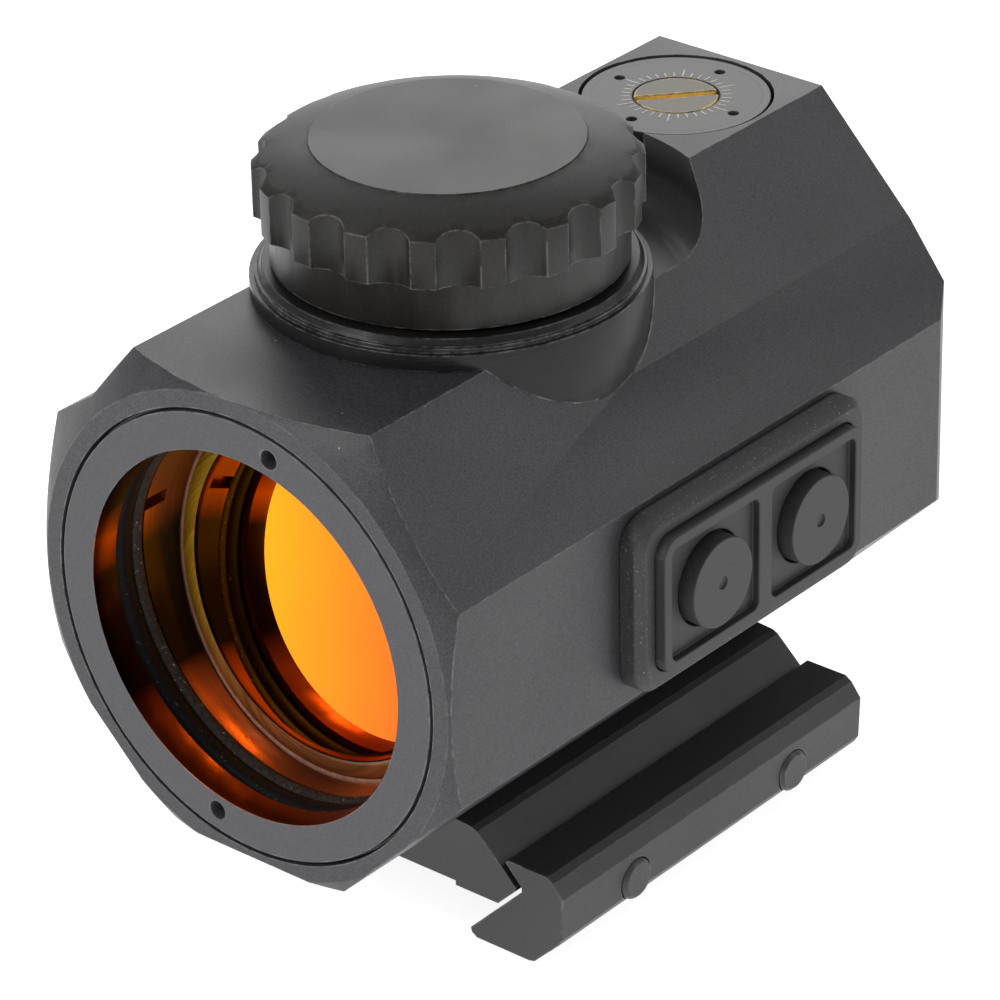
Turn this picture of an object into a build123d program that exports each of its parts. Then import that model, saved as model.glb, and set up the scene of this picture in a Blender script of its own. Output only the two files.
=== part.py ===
from build123d import *
import math
import os

# Tube-bodied red dot finder with a clamp for a 21 mm dovetail rail, in millimetres.
# X points to the keypad side, Y along the line of sight from the front lens to the eye, Z up.
# The origin is the middle of the rail seat, half-way between the two cross bolts.

os.makedirs("parts", exist_ok=True)

# ---- body ----
OPTICAL_Z = 24.6
FRONT_Y = -32.6
BODY_LENGTH = 62.5
REAR_Y = FRONT_Y + BODY_LENGTH
SIDE_X = 19.95
SIDE_TOP = OPTICAL_Z + 8.49
SIDE_BOTTOM = OPTICAL_Z - 7.57
SHELF_Z = OPTICAL_Z + 11.63
TOP_Z = OPTICAL_Z + 19.74
TOP_HALF = 11.42
BOTTOM_Z = OPTICAL_Z - 18.93
BOTTOM_HALF = 8.51
NOSE_RADIUS = 19.74
NOSE_SLOPE = 0.667
REAR_CHAMFER_X = 1.5
REAR_CHAMFER_Y = 2.5

# ---- raised rear deck ----
DECK_Z = OPTICAL_Z + 25.24
DECK_HALF = 8.03
CREASE_X = 15.0
CREASE_Z = OPTICAL_Z + 15.0
DECK_LEAN = 2.3
SCALLOP_RADIUS = 20.3
SCALLOP_FILLET = 3.0

# ---- stations along the bore, measured back from the front face ----
APERTURE_RADIUS = 15.0
RING_SOCKET_RADIUS = 18.35
RING_RADIUS = 18.3
RING_LIP_RADIUS = 18.05
RING_DEPTH = 2.5
BORE_RADIUS = 16.3
INSERT_RADIUS = 16.25
SEAL_END = 5.7
SEAL_INNER = 15.2
SPACER_INNER = 15.2
LENS_LEDGE_END = 15.6
LEDGE_RADIUS = 14.2
KEY_SLOT_WIDTH = 1.2
KEY_SLOT_LENGTH = 2.2

# ---- front lens, tilted so that the dot's light leaves along the line of sight ----
LENS_TILT = 7.5
LENS_RIM_DEPTH = 9.9
LENS_EDGE = 2.2
LENS_RADIUS = 15.9
LENS_BULGE = 1.05
LENS_HOLLOW = 0.9
LENS_RIM_GAP = 0.15
LENS_SEAT_GAP = 0.03
LENS_FRONT_CURVE = (LENS_RADIUS**2 + LENS_BULGE**2) / (2 * LENS_BULGE)
LENS_REAR_CURVE = (LENS_RADIUS**2 + LENS_HOLLOW**2) / (2 * LENS_HOLLOW)
WINDOW_START = 55.2
WINDOW_END = 57.2
WINDOW_RADIUS = 16.7
REAR_BORE_RADIUS = 16.8
REAR_RING_START = 57.3
SPANNER_HOLE_RADIUS = 0.75
SPANNER_HOLE_PITCH_RADIUS = 16.4
SPANNER_HOLE_ANGLE = 78.0
KEY_SLOT_ANGLE = 165.0

# ---- tilting tube ----
GIMBAL_START = 17.0
GIMBAL_END = 20.0
GIMBAL_OUTER = 15.9
GIMBAL_INNER = 14.95
GIMBAL_PIN_DEPTH = 1.1
GIMBAL_HOLE_DEPTH = 1.2
TUBE_START = 16.6
TUBE_END = 53.6
TUBE_OUTER = 14.6
TUBE_INNER = 13.7
TRUNNION_RADIUS = 0.6
TRUNNION_CLEARANCE = 0.05
GROOVE_COUNT = 8
GROOVE_START = 8.0
GROOVE_PITCH = 3.4
GROOVE_WIDTH = 1.2
GROOVE_DEPTH = 0.25

# ---- dot emitter and tube spring, stations measured back from the front face ----
EMITTER_END = 51.0
EMITTER_LENGTH = 6.0
EMITTER_WIDTH = 5.0
EMITTER_HEIGHT = 3.6
EMITTER_RISE = 2.0
LED_WIDTH = 1.6
LED_HEIGHT = 1.2
LED_THICKNESS = 0.5
LED_RISE = 2.6
SPRING_LEAF_END = 50.0
SPRING_LEAF_LENGTH = 24.0
SPRING_LEAF_WIDTH = 5.0
SPRING_LEAF_THICKNESS = 0.3
SPRING_LEAF_RADIUS = 15.95
SPRING_LEAF_ANGLE = -45

# ---- battery turret ----
TURRET_Y = -8.0
BASE_RADIUS = 15.1
BASE_WALL_TOP = OPTICAL_Z + 21.1
BASE_TOP = OPTICAL_Z + 22.0
BASE_CLEARANCE = 0.03
BASE_STEP_HEIGHT = 0.35
BASE_STEP_INSET = 0.4
BASE_CONE_INSET = 0.65
BASE_CONE_TAPER = 30
WIRE_HOLE_RADIUS = 1.0
SPIGOT_RADIUS = 12.1
SPIGOT_SOCKET_RADIUS = 12.15
SPIGOT_BOTTOM = OPTICAL_Z + 17.4
SPIGOT_SOCKET_BOTTOM = OPTICAL_Z + 17.35
CUP_RADIUS = 11.2
CUP_FLOOR = OPTICAL_Z + 17.95
CELL_RADIUS = 10.0
CELL_HEIGHT = 3.2
CELL_BOTTOM = OPTICAL_Z + 18.3
CAP_PLUG_RADIUS = 11.13
CAP_PLUG_INNER = 10.35
CAP_PLUG_BOTTOM = OPTICAL_Z + 19.6
CAP_SKIRT_RADIUS = 13.5
CAP_SKIRT_BOTTOM = OPTICAL_Z + 22.35
CAP_BAND_RADIUS = 14.6
CAP_BAND_BOTTOM = OPTICAL_Z + 26.1
CAP_BAND_TOP = OPTICAL_Z + 29.9
CAP_SHOULDER_RADIUS = 13.95
CAP_SHOULDER_Z = OPTICAL_Z + 30.35
CAP_SHOULDER_MIDDLE = (12.15, OPTICAL_Z + 31.05)
CAP_FACE_RADIUS = 10.3
CAP_TOP = OPTICAL_Z + 31.72
CAP_EDGE = 0.1
CAP_SKIRT_STEP = 0.15
SEAL_GROOVE_DEPTH = 0.75
CAP_CEILING = OPTICAL_Z + 28.3
FLUTE_COUNT = 18
FLUTE_RADIUS = 2.0
FLUTE_PITCH_RADIUS = 15.7
FLUTE_PHASE = 12.7
O_RING_RADIUS = 12.3
O_RING_SECTION = 0.5
SPRING_WIRE = 0.25
SPRING_RADIUS = 3.2
SPRING_TURNS = 5
CELL_STEP_HEIGHT = 0.4
CELL_STEP_INSET = 0.9
CONTACT_LENGTH = 14.0
CONTACT_WIDTH = 3.0
CONTACT_THICKNESS = 0.28
CAP_CONTACT_RADIUS = 5.0
CAP_CONTACT_THICKNESS = 0.3

# ---- adjusters ----
DIAL_Y = 19.4
DIAL_RADIUS = 7.4
DIAL_RECESS_RADIUS = 7.65
DIAL_RECESS_DEPTH = 1.6
DIAL_THICKNESS = 1.5
DIAL_HOLE_RADIUS = 3.42
DIAL_PIN_RADIUS = 0.4
DIAL_PIN_PITCH_RADIUS = 5.6
SCREW_HEAD_RADIUS = 3.35
SCREW_FLANGE_RADIUS = 4.6
SCREW_NECK_RADIUS = 3.0
SCREW_GAP = 0.1
SCREW_HEAD_DROP = 0.1
FLANGE_TOP = 1.7
FLANGE_BOTTOM = 3.1
NECK_BOTTOM = 5.2
PUSHER_BORE_TOP = 1.4
ELEVATION_SLOT_ANGLE = 48
SLOT_WIDTH = 0.7
SLOT_DEPTH = 0.8
PUSHER_RADIUS = 1.5
PUSHER_TIP = TUBE_OUTER + 0.15
WINDAGE_BOSS_RADIUS = 8.6
WINDAGE_BOSS_HEIGHT = 2.0
WINDAGE_FACE = SIDE_X + WINDAGE_BOSS_HEIGHT

# ---- keypad ----
KEYPAD_Y = 0.9
KEYPAD_Z = OPTICAL_Z + 0.65
BEZEL_HALF_Y = 14.1
BEZEL_HALF_Z = 7.35
BEZEL_HEIGHT = 2.05
BEZEL_BEVEL = 0.65
BEZEL_CORNER = 2.4
PAD_HALF_Y = 12.3
PAD_HALF_Z = 5.7
PAD_HEIGHT = 2.9
PAD_CORNER = 1.5
PAD_FLANGE = 0.7
PAD_FLANGE_THICKNESS = 0.6
PAD_GAP = 0.1
POCKET_HALF_Y = 5.3
POCKET_HALF_Z = 4.75
POCKET_DEPTH = 0.65
POCKET_CORNER = 0.7
BUTTON_OFFSET = 6.1
BUTTON_RADIUS = 3.6
BUTTON_HOLE_RADIUS = 3.78
DIMPLE_RADIUS = 0.5
DIMPLE_DEPTH = 0.2
BUTTON_TOP = 3.55
BUTTON_UNDERSIDE = 2.0
BUTTON_WELL_FLOOR = 1.3
STEM_RADIUS = 1.2
STEM_HOLE_RADIUS = 1.38
STEM_TIP = -1.0
BOARD_POCKET_HALF_Y = 12.0
BOARD_POCKET_HALF_Z = 5.4
BOARD_POCKET_FLOOR = -2.65
BOARD_BOTTOM = -2.55
BOARD_THICKNESS = 0.8
PAD_PLUG_BOTTOM = -0.75
DOME_RADIUS = 2.5
DOME_HEIGHT = 0.3

# ---- rail mount ----
MOUNT_HALF_LENGTH = 19.0
BOLT_OFFSET = 10.0
BOLT_Z = -0.2
BOLT_RADIUS = 2.0
BOLT_CLEARANCE = 0.07
BOLT_TIP_RADIUS = 1.7
BOLT_TIP_X = 19.15
BOLT_SHOULDER_X = 18.2
BOLT_HEAD_RADIUS = 3.4
BOLT_HEAD_INNER_X = -18.95
BOLT_HEAD_OUTER_X = -21.95
SEAT_HALF = 8.3
SEAT_STEP = 0.4
GRIP_LINE = 13.365
LIP_TIP_X = 9.7
LIP_BOTTOM = -4.4
MOUNT_SCREW_OFFSET = 5.0
MOUNT_SCREW_RADIUS = 1.2
MOUNT_SCREW_HEAD_RADIUS = 2.3
MOUNT_SCREW_HEAD_BOTTOM = 0.4
MOUNT_SCREW_HEAD_TOP = 2.5
MOUNT_SCREW_SOCKET = 1.15
BOLT_SOCKET = 1.9
BOLT_SOCKET_DEPTH = 1.8
BOLT_TIP_CHAMFER = 0.3

# Plane names: "across" stands square to the line of sight, "plate" lies flat on the keypad side.


def across(y):
    """Plane at one station of the bore, with X to the keypad side and Z up, facing forwards."""
    return Plane(origin=(0, y, 0), x_dir=(1, 0, 0), z_dir=(0, -1, 0))


def plate(height):
    """Plane parallel to the keypad side, centred on the keypad, a height above the side face."""
    return Plane(origin=(SIDE_X + height, KEYPAD_Y, KEYPAD_Z), x_dir=(0, 1, 0), z_dir=(1, 0, 0))


def lengthwise(x):
    """Plane parallel to the keypad side at one X, with local axes along Y and Z."""
    return Plane(origin=(x, 0, 0), x_dir=(0, 1, 0), z_dir=(1, 0, 0))


def disc_stage(start, end, radius, mode=Mode.ADD):
    """Round stage on the optical axis between two depths behind the front face."""
    with BuildSketch(across(FRONT_Y + end)) as outline:
        with Locations((0, OPTICAL_Z)):
            Circle(radius)
    extrude(outline.sketch, amount=end - start, mode=mode)


def upright_stage(y, bottom, top, radius, mode=Mode.ADD):
    """Round stage on a vertical axis over the middle of the body."""
    with BuildSketch(Plane.XY.offset(bottom)) as outline:
        with Locations((0, y)):
            Circle(radius)
    extrude(outline.sketch, amount=top - bottom, mode=mode)


def sideways_stage(y, z, low_x, high_x, radius, mode=Mode.ADD):
    """Round stage on an axis that runs across the body."""
    with BuildSketch(lengthwise(low_x)) as outline:
        with Locations((y, z)):
            Circle(radius)
    extrude(outline.sketch, amount=high_x - low_x, mode=mode)


def lens_plane(along):
    """Plane square to the tilted lens axis, a distance behind its front rim, facing backwards."""
    lean = math.radians(LENS_TILT)
    axis = Vector(0, math.cos(lean), -math.sin(lean))
    rim_centre = Vector(0, FRONT_Y + LENS_RIM_DEPTH, OPTICAL_Z)
    return Plane(origin=rim_centre + axis * along, x_dir=(1, 0, 0), z_dir=axis)


def trim_behind(along):
    """Cut away whatever lies behind a plane parallel to the tilted lens."""
    with BuildSketch(lens_plane(along)) as cutter:
        Circle(2 * BORE_RADIUS)
    extrude(cutter.sketch, amount=BORE_RADIUS, mode=Mode.SUBTRACT)


# Cross-section of the tube body: flat top, sides and bottom joined by sloping faces.
# The side away from the keypad rises further, to a shelf with a gentler slope.
OCTAGON = (
    (-BOTTOM_HALF, BOTTOM_Z),
    (BOTTOM_HALF, BOTTOM_Z),
    (SIDE_X, SIDE_BOTTOM),
    (SIDE_X, SIDE_TOP),
    (TOP_HALF, TOP_Z),
    (-TOP_HALF, TOP_Z),
    (-CREASE_X, CREASE_Z),
    (-SIDE_X, SHELF_Z),
    (-SIDE_X, SIDE_BOTTOM),
)


# Room for the lens and the rings in front of it; its end wall is the lens's tilted seat.
with BuildPart() as lens_room:
    disc_stage(RING_DEPTH, LENS_LEDGE_END, BORE_RADIUS)
    trim_behind(LENS_EDGE + LENS_SEAT_GAP)


# ---- housing ----
with BuildPart() as housing:
    with BuildSketch(across(REAR_Y)):
        with BuildLine():
            Polyline(
                (-CREASE_X, CREASE_Z),
                (CREASE_X, CREASE_Z),
                (DECK_HALF, DECK_Z),
                (-DECK_HALF, DECK_Z),
                close=True,
            )
        make_face()
    extrude(amount=REAR_Y - TURRET_Y)
    # the deck stops in a round scallop, filleted at its foot, that leaves room for fingers
    fillet_reach = SCALLOP_FILLET * (1 - math.sqrt(0.5))
    with BuildSketch(Plane.XZ.offset(-TURRET_Y)):
        with BuildLine():
            Polyline(
                (SCALLOP_RADIUS, TOP_Z + SCALLOP_FILLET),
                (SCALLOP_RADIUS, DECK_Z + 1),
                (0, DECK_Z + 1),
                (0, TOP_Z),
                (SCALLOP_RADIUS - SCALLOP_FILLET, TOP_Z),
            )
            ThreePointArc(
                (SCALLOP_RADIUS - SCALLOP_FILLET, TOP_Z),
                (SCALLOP_RADIUS - fillet_reach, TOP_Z + fillet_reach),
                (SCALLOP_RADIUS, TOP_Z + SCALLOP_FILLET),
            )
        make_face()
    revolve(axis=Axis((0, TURRET_Y, 0), (0, 0, 1)), mode=Mode.SUBTRACT)
    # below the scallop the deck's steep sides run on to the battery turret
    upright_stage(TURRET_Y, CREASE_Z - 1, TOP_Z, BASE_RADIUS + BASE_CLEARANCE, Mode.SUBTRACT)
    with BuildSketch(across(REAR_Y)):
        Polygon(*OCTAGON, align=None)
    extrude(amount=BODY_LENGTH)
    # the nose is turned down to a shallow cone
    nose_reach = 12.0
    with BuildSketch(Plane.YZ):
        with BuildLine():
            Polyline(
                (FRONT_Y, OPTICAL_Z + NOSE_RADIUS),
                (FRONT_Y, OPTICAL_Z + NOSE_RADIUS + nose_reach),
                (FRONT_Y + NOSE_SLOPE * nose_reach, OPTICAL_Z + NOSE_RADIUS + nose_reach),
                close=True,
            )
        make_face()
    revolve(axis=Axis((0, 0, OPTICAL_Z), (0, 1, 0)), mode=Mode.SUBTRACT)
    # both rear side edges are bevelled
    for side in (-1, 1):
        with BuildSketch(Plane.XY.offset(BOTTOM_Z)):
            with BuildLine():
                Polyline(
                    (side * (SIDE_X - REAR_CHAMFER_X), REAR_Y),
                    (side * (SIDE_X + REAR_CHAMFER_X), REAR_Y),
                    (side * (SIDE_X + REAR_CHAMFER_X), REAR_Y - 2 * REAR_CHAMFER_Y),
                    close=True,
                )
            make_face()
        extrude(amount=TOP_Z - BOTTOM_Z, mode=Mode.SUBTRACT)
    # the rear of the deck leans forwards
    with BuildSketch(lengthwise(-SIDE_X)):
        with BuildLine():
            Polyline(
                (REAR_Y, CREASE_Z),
                (REAR_Y + 1, DECK_Z + 1),
                (REAR_Y - DECK_LEAN, DECK_Z + 1),
                (REAR_Y - DECK_LEAN, DECK_Z),
                close=True,
            )
        make_face()
    extrude(amount=2 * SIDE_X, mode=Mode.SUBTRACT)
    # boss for the windage adjuster on the side away from the keypad
    sideways_stage(DIAL_Y, OPTICAL_Z, -WINDAGE_FACE, -SIDE_X + 1, WINDAGE_BOSS_RADIUS)
    # stepped bore from the locking ring socket back to the rear window
    disc_stage(0, RING_DEPTH, RING_SOCKET_RADIUS, Mode.SUBTRACT)
    add(lens_room.part, mode=Mode.SUBTRACT)
    disc_stage(RING_DEPTH, LENS_LEDGE_END, LEDGE_RADIUS, Mode.SUBTRACT)
    disc_stage(LENS_LEDGE_END, WINDOW_START, BORE_RADIUS, Mode.SUBTRACT)
    disc_stage(WINDOW_START, BODY_LENGTH, REAR_BORE_RADIUS, Mode.SUBTRACT)
    # blind holes for the gimbal's side pins
    gimbal_y = FRONT_Y + (GIMBAL_START + GIMBAL_END) / 2
    pin_hole = TRUNNION_RADIUS + TRUNNION_CLEARANCE
    hole_end = BORE_RADIUS + GIMBAL_HOLE_DEPTH
    sideways_stage(gimbal_y, OPTICAL_Z, -hole_end, hole_end, pin_hole, Mode.SUBTRACT)
    # socket for the battery turret and the wire hole under it
    upright_stage(TURRET_Y, SPIGOT_SOCKET_BOTTOM, TOP_Z + 1, SPIGOT_SOCKET_RADIUS, Mode.SUBTRACT)
    upright_stage(TURRET_Y, OPTICAL_Z + LEDGE_RADIUS, TOP_Z, WIRE_HOLE_RADIUS, Mode.SUBTRACT)
    # elevation adjuster: dial recess, flange room, neck and pusher hole
    upright_stage(DIAL_Y, DECK_Z - DIAL_RECESS_DEPTH, DECK_Z + 1, DIAL_RECESS_RADIUS, Mode.SUBTRACT)
    flange_floor = DECK_Z - FLANGE_BOTTOM - SCREW_GAP
    neck_floor = DECK_Z - NECK_BOTTOM - SCREW_GAP
    upright_stage(DIAL_Y, flange_floor, DECK_Z - 1, SCREW_FLANGE_RADIUS + SCREW_GAP, Mode.SUBTRACT)
    upright_stage(DIAL_Y, neck_floor, DECK_Z - 1, SCREW_NECK_RADIUS + SCREW_GAP, Mode.SUBTRACT)
    pusher_hole = PUSHER_RADIUS + 0.08
    upright_stage(DIAL_Y, OPTICAL_Z + LEDGE_RADIUS, DECK_Z - 1, pusher_hole, Mode.SUBTRACT)
    # windage adjuster: the same stack, drilled in from the side boss
    recess_x = -WINDAGE_FACE + DIAL_RECESS_DEPTH
    sideways_stage(DIAL_Y, OPTICAL_Z, -WINDAGE_FACE - 1, recess_x, DIAL_RECESS_RADIUS, Mode.SUBTRACT)
    flange_end = recess_x + 1.55
    sideways_stage(DIAL_Y, OPTICAL_Z, recess_x, flange_end, SCREW_FLANGE_RADIUS + SCREW_GAP, Mode.SUBTRACT)
    neck_end = recess_x + 2.7
    sideways_stage(DIAL_Y, OPTICAL_Z, recess_x, neck_end, SCREW_NECK_RADIUS + SCREW_GAP, Mode.SUBTRACT)
    sideways_stage(DIAL_Y, OPTICAL_Z, recess_x, -LEDGE_RADIUS, pusher_hole, Mode.SUBTRACT)
    # pocket for the circuit board behind the keypad
    with BuildSketch(plate(BOARD_POCKET_FLOOR)):
        RectangleRounded(2 * BOARD_POCKET_HALF_Y, 2 * BOARD_POCKET_HALF_Z, 1.0)
    extrude(amount=-BOARD_POCKET_FLOOR + 1, mode=Mode.SUBTRACT)
    # threaded holes for the screws that hold the mount
    for screw_y in (-MOUNT_SCREW_OFFSET, MOUNT_SCREW_OFFSET):
        upright_stage(screw_y, BOTTOM_Z - 1, BOTTOM_Z + 2.1, MOUNT_SCREW_RADIUS + 0.05, Mode.SUBTRACT)
housing.part.label = "housing"
export_step(housing.part, "parts/housing.step")


# ---- front optics ----
with BuildPart() as front_locking_ring:
    disc_stage(0, RING_DEPTH, RING_RADIUS)
    # a narrow step round the rim leaves a dark line against the housing
    with BuildSketch(across(FRONT_Y + 0.8)):
        with Locations((0, OPTICAL_Z)):
            Circle(RING_RADIUS + 1)
            Circle(RING_LIP_RADIUS, mode=Mode.SUBTRACT)
    extrude(amount=0.8, mode=Mode.SUBTRACT)
    disc_stage(0, RING_DEPTH, APERTURE_RADIUS, Mode.SUBTRACT)
    for turn in (SPANNER_HOLE_ANGLE, SPANNER_HOLE_ANGLE + 180):
        with BuildSketch(across(FRONT_Y + 1.6)):
            with Locations((0, OPTICAL_Z)):
                with PolarLocations(SPANNER_HOLE_PITCH_RADIUS, 1, start_angle=turn):
                    Circle(SPANNER_HOLE_RADIUS)
        extrude(amount=1.6, mode=Mode.SUBTRACT)
front_locking_ring.part.label = "front_locking_ring"
export_step(front_locking_ring.part, "parts/front_locking_ring.step")

with BuildPart() as front_seal_ring:
    disc_stage(RING_DEPTH, SEAL_END, INSERT_RADIUS)
    disc_stage(RING_DEPTH, SEAL_END, SEAL_INNER, Mode.SUBTRACT)
front_seal_ring.part.label = "front_seal_ring"
export_step(front_seal_ring.part, "parts/front_seal_ring.step")

with BuildPart() as lens_spacer:
    disc_stage(SEAL_END, LENS_LEDGE_END, INSERT_RADIUS)
    disc_stage(SEAL_END, LENS_LEDGE_END, SPACER_INNER, Mode.SUBTRACT)
    trim_behind(-LENS_RIM_GAP)
    # one key slot in the front edge
    with BuildSketch(across(FRONT_Y + SEAL_END + KEY_SLOT_LENGTH)):
        with Locations((0, OPTICAL_Z)):
            with PolarLocations(SPACER_INNER, 1, start_angle=KEY_SLOT_ANGLE):
                Rectangle(1.4, KEY_SLOT_WIDTH)
    extrude(amount=KEY_SLOT_LENGTH, mode=Mode.SUBTRACT)
lens_spacer.part.label = "lens_spacer"
export_step(lens_spacer.part, "parts/lens_spacer.step")

with BuildPart() as objective_lens:
    with BuildSketch(lens_plane(-LENS_BULGE)):
        Circle(LENS_RADIUS)
    extrude(amount=LENS_BULGE + LENS_EDGE)
    with Locations(Location(lens_plane(LENS_FRONT_CURVE - LENS_BULGE))):
        Sphere(LENS_FRONT_CURVE, mode=Mode.INTERSECT)
    with Locations(Location(lens_plane(LENS_EDGE - LENS_HOLLOW + LENS_REAR_CURVE))):
        Sphere(LENS_REAR_CURVE, mode=Mode.SUBTRACT)
objective_lens.part.label = "objective_lens"
export_step(objective_lens.part, "parts/objective_lens.step")


# ---- rear optics ----
with BuildPart() as rear_window:
    disc_stage(WINDOW_START, WINDOW_END, WINDOW_RADIUS)
rear_window.part.label = "rear_window"
export_step(rear_window.part, "parts/rear_window.step")

with BuildPart() as rear_locking_ring:
    disc_stage(REAR_RING_START, BODY_LENGTH - 0.4, REAR_BORE_RADIUS - 0.05)
    disc_stage(REAR_RING_START, BODY_LENGTH, LEDGE_RADIUS, Mode.SUBTRACT)
    for turn in (0, 180):
        with BuildSketch(across(REAR_Y)):
            with Locations((0, OPTICAL_Z)):
                with PolarLocations(15.5, 1, start_angle=turn):
                    Circle(SPANNER_HOLE_RADIUS)
        extrude(amount=2.0, mode=Mode.SUBTRACT)
rear_locking_ring.part.label = "rear_locking_ring"
export_step(rear_locking_ring.part, "parts/rear_locking_ring.step")


# ---- tilting tube that carries the dot emitter ----
with BuildPart() as gimbal_ring:
    disc_stage(GIMBAL_START, GIMBAL_END, GIMBAL_OUTER)
    pin_end = BORE_RADIUS + GIMBAL_PIN_DEPTH
    sideways_stage(gimbal_y, OPTICAL_Z, -pin_end, pin_end, TRUNNION_RADIUS)
    disc_stage(GIMBAL_START - 1, GIMBAL_END + 1, GIMBAL_INNER, Mode.SUBTRACT)
    upright_stage(
        gimbal_y,
        OPTICAL_Z - GIMBAL_OUTER - 1,
        OPTICAL_Z + GIMBAL_OUTER + 1,
        TRUNNION_RADIUS + TRUNNION_CLEARANCE,
        Mode.SUBTRACT,
    )
gimbal_ring.part.label = "gimbal_ring"
export_step(gimbal_ring.part, "parts/gimbal_ring.step")

with BuildPart() as optic_tube:
    disc_stage(TUBE_START, TUBE_END, TUBE_OUTER)
    upright_stage(
        gimbal_y,
        OPTICAL_Z - GIMBAL_OUTER + 0.1,
        OPTICAL_Z + GIMBAL_OUTER - 0.1,
        TRUNNION_RADIUS,
    )
    disc_stage(TUBE_START, TUBE_END, TUBE_INNER, Mode.SUBTRACT)
    # fine anti-glare grooves turned inside the tube
    for groove in range(GROOVE_COUNT):
        groove_start = TUBE_START + GROOVE_START + GROOVE_PITCH * groove
        disc_stage(groove_start, groove_start + GROOVE_WIDTH, TUBE_INNER + GROOVE_DEPTH, Mode.SUBTRACT)
optic_tube.part.label = "optic_tube"
export_step(optic_tube.part, "parts/optic_tube.step")

# The emitter sits on a small block at the foot of the tube, near the rear window.
with BuildPart() as emitter_block:
    with BuildSketch(across(FRONT_Y + EMITTER_END)):
        with Locations((0, OPTICAL_Z - TUBE_INNER + EMITTER_RISE)):
            Rectangle(EMITTER_WIDTH, EMITTER_HEIGHT)
    extrude(amount=EMITTER_LENGTH)
    disc_stage(TUBE_START, TUBE_END, TUBE_INNER - 0.02, Mode.INTERSECT)
emitter_block.part.label = "emitter_block"
export_step(emitter_block.part, "parts/emitter_block.step")

with BuildPart() as emitter_led:
    with BuildSketch(across(FRONT_Y + EMITTER_END - EMITTER_LENGTH)):
        with Locations((0, OPTICAL_Z - TUBE_INNER + LED_RISE)):
            Rectangle(LED_WIDTH, LED_HEIGHT)
    extrude(amount=LED_THICKNESS)
emitter_led.part.label = "emitter_led"
export_step(emitter_led.part, "parts/emitter_led.step")

# Leaf spring on the lower wall of the bore, opposite both adjusters.
with BuildPart() as tube_spring:
    with BuildSketch(across(FRONT_Y + SPRING_LEAF_END)):
        with Locations((0, OPTICAL_Z)):
            with PolarLocations(SPRING_LEAF_RADIUS, 1, start_angle=SPRING_LEAF_ANGLE):
                Rectangle(SPRING_LEAF_THICKNESS, SPRING_LEAF_WIDTH)
    extrude(amount=SPRING_LEAF_LENGTH)
tube_spring.part.label = "tube_spring"
export_step(tube_spring.part, "parts/tube_spring.step")


# ---- battery turret ----
with BuildPart() as turret_base:
    upright_stage(TURRET_Y, SIDE_TOP, BASE_WALL_TOP, BASE_RADIUS)
    with BuildSketch(across(REAR_Y)):
        Polygon(*OCTAGON, align=None)
    extrude(amount=BODY_LENGTH, mode=Mode.SUBTRACT)
    # stepped shoulder under the cap
    step_top = BASE_WALL_TOP + BASE_STEP_HEIGHT
    upright_stage(TURRET_Y, BASE_WALL_TOP, step_top, BASE_RADIUS - BASE_STEP_INSET)
    with BuildSketch(Plane.XY.offset(step_top)):
        with Locations((0, TURRET_Y)):
            Circle(BASE_RADIUS - BASE_CONE_INSET)
    extrude(amount=BASE_TOP - step_top, taper=BASE_CONE_TAPER)
    upright_stage(TURRET_Y, SPIGOT_BOTTOM, TOP_Z, SPIGOT_RADIUS)
    upright_stage(TURRET_Y, CUP_FLOOR, BASE_TOP + 1, CUP_RADIUS, Mode.SUBTRACT)
turret_base.part.label = "turret_base"
export_step(turret_base.part, "parts/turret_base.step")

groove_outer = O_RING_RADIUS + O_RING_SECTION + 0.03
groove_inner = O_RING_RADIUS - O_RING_SECTION - 0.03
groove_top = CAP_SKIRT_BOTTOM + SEAL_GROOVE_DEPTH
with BuildPart() as battery_cap:
    with BuildSketch(Plane.XZ.offset(-TURRET_Y)):
        with BuildLine():
            Polyline(
                (0, CAP_CEILING),
                (0, CAP_TOP),
                (CAP_FACE_RADIUS, CAP_TOP),
                (CAP_FACE_RADIUS + CAP_EDGE, CAP_TOP - CAP_EDGE),
            )
            ThreePointArc(
                (CAP_FACE_RADIUS + CAP_EDGE, CAP_TOP - CAP_EDGE),
                CAP_SHOULDER_MIDDLE,
                (CAP_SHOULDER_RADIUS, CAP_SHOULDER_Z),
            )
            Polyline(
                (CAP_SHOULDER_RADIUS, CAP_SHOULDER_Z),
                (CAP_BAND_RADIUS, CAP_BAND_TOP),
                (CAP_BAND_RADIUS, CAP_BAND_BOTTOM),
                (CAP_SKIRT_RADIUS, CAP_BAND_BOTTOM - CAP_SKIRT_STEP),
                (CAP_SKIRT_RADIUS, CAP_SKIRT_BOTTOM),
                (groove_outer, CAP_SKIRT_BOTTOM),
                (groove_outer, groove_top),
                (groove_inner, groove_top),
                (groove_inner, CAP_SKIRT_BOTTOM),
                (CAP_PLUG_RADIUS, CAP_SKIRT_BOTTOM),
                (CAP_PLUG_RADIUS, CAP_PLUG_BOTTOM),
                (CAP_PLUG_INNER, CAP_PLUG_BOTTOM),
                (CAP_PLUG_INNER, CAP_CEILING),
                (0, CAP_CEILING),
            )
        make_face()
    revolve(axis=Axis((0, TURRET_Y, 0), (0, 0, 1)))
    # finger flutes run out through the shoulder
    with BuildSketch(Plane.XY.offset(CAP_BAND_BOTTOM - 0.2)):
        with Locations((0, TURRET_Y)):
            with PolarLocations(FLUTE_PITCH_RADIUS, FLUTE_COUNT, start_angle=FLUTE_PHASE):
                Circle(FLUTE_RADIUS)
    extrude(amount=CAP_TOP - CAP_BAND_BOTTOM + 1, mode=Mode.SUBTRACT)
battery_cap.part.label = "battery_cap"
export_step(battery_cap.part, "parts/battery_cap.step")

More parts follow.
